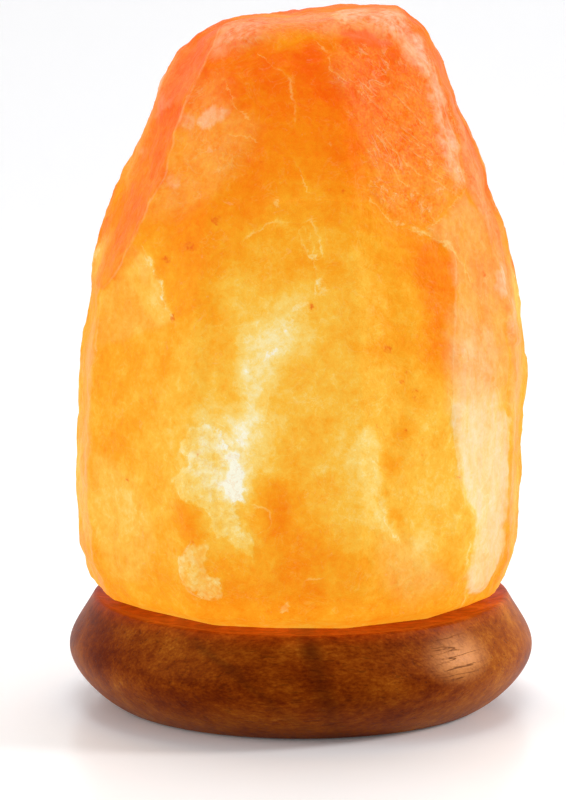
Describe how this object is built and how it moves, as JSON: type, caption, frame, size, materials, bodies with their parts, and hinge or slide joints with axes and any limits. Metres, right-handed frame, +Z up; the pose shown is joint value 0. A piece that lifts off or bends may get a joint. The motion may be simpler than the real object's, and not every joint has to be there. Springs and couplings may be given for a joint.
{
  "type": "salt crystal lamp",
  "caption": "Table lamp: a bored rock-salt crystal screwed on a turned wooden base, lit from inside by a small screw-in bulb in a lampholder that clips in from below.",
  "frame": {"origin": "middle of the base on the table, between the rubber feet", "axes": "+Z up through the crystal, -Y towards the viewer, +Y to the cord channel at the back, +X to the right"},
  "size_m": [0.1316, 0.1316, 0.1966],
  "materials": {
    "turned_wood": "satin oiled hardwood, turned",
    "rock_salt": "hewn translucent rock salt",
    "foot_rubber": "matt",
    "zinc_steel": "zinc plated",
    "spring_steel": "bright drawn spring steel",
    "anchor_plastic": "moulded",
    "holder_plastic": "moulded, semi-gloss",
    "contact_brass": "pressed",
    "cap_nickel": "nickel-plated brass",
    "solder": "dull tin solder",
    "vitrite": "black glass",
    "bulb_glass": "clear",
    "filament_wire": "drawn tungsten"
  },
  "bodies": {
    "base": {"wooden_base": "turned_wood", "rubber_feet": "foot_rubber", "salt_crystal": "rock_salt", "crystal_screws": "zinc_steel", "crystal_washers": "zinc_steel", "crystal_anchors": "anchor_plastic"},
    "holder": {"holder_plate": "zinc_steel", "holder_sleeve": "holder_plastic", "sleeve_screws": "zinc_steel", "holder_insert": "holder_plastic", "holder_cup": "holder_plastic", "cup_screw": "zinc_steel", "screw_shell": "contact_brass", "side_terminal": "contact_brass", "centre_terminal": "contact_brass", "terminal_blocks": "contact_brass", "terminal_screws": "zinc_steel", "clip_pins": "zinc_steel", "clip_spring_right": "spring_steel", "clip_spring_left": "spring_steel"},
    "clip_right_arm": {"clip_right": "spring_steel"},
    "clip_left_arm": {"clip_left": "spring_steel"},
    "contact_leaf": {"centre_contact": "contact_brass"},
    "bulb_contact": {"bulb_tip": "solder"},
    "bulb": {"bulb_insulator": "vitrite", "bulb_cap": "cap_nickel", "bulb_glass": "bulb_glass", "bulb_stem": "bulb_glass", "bulb_wires": "filament_wire", "bulb_filament": "filament_wire"}
  },
  "joints": [
    {"name": "holder_slide", "type": "slide", "parent": "base", "child": "holder", "axis": [0, 0, -1], "range_m": [0, 0.085]},
    {"name": "clip_right_squeeze", "type": "hinge", "parent": "holder", "child": "clip_right_arm", "pos_m": [0.0185, 0, 0.0195], "axis": [0, -1, 0], "range_deg": [0, 15], "stiffness_Nm_per_rad": 0.5},
    {"name": "clip_left_squeeze", "type": "hinge", "parent": "holder", "child": "clip_left_arm", "pos_m": [-0.0185, 0, 0.0195], "axis": [0, 1, 0], "range_deg": [0, 15], "stiffness_Nm_per_rad": 0.5},
    {"name": "bulb_turn", "type": "hinge", "parent": "bulb_contact", "child": "bulb", "pos_m": [0, 0, 0.03], "axis": [0, 0, 1], "range_deg": [0, 1440]},
    {"name": "bulb_lift", "type": "slide", "parent": "holder", "child": "bulb_contact", "axis": [0, 0, 1], "range_m": [0, 0.01129]},
    {"name": "leaf_lift", "type": "hinge", "parent": "holder", "child": "contact_leaf", "pos_m": [-0.0054, 0, 0.02225], "axis": [0, -1, 0], "range_deg": [0, 12]}
  ],
  "couplings": [
    {"joint": "bulb_turn", "follows": "bulb_lift", "rad_per_m": 2226.5},
    {"joint": "leaf_lift", "follows": "bulb_lift", "rad_per_m": 18.553}
  ]
}
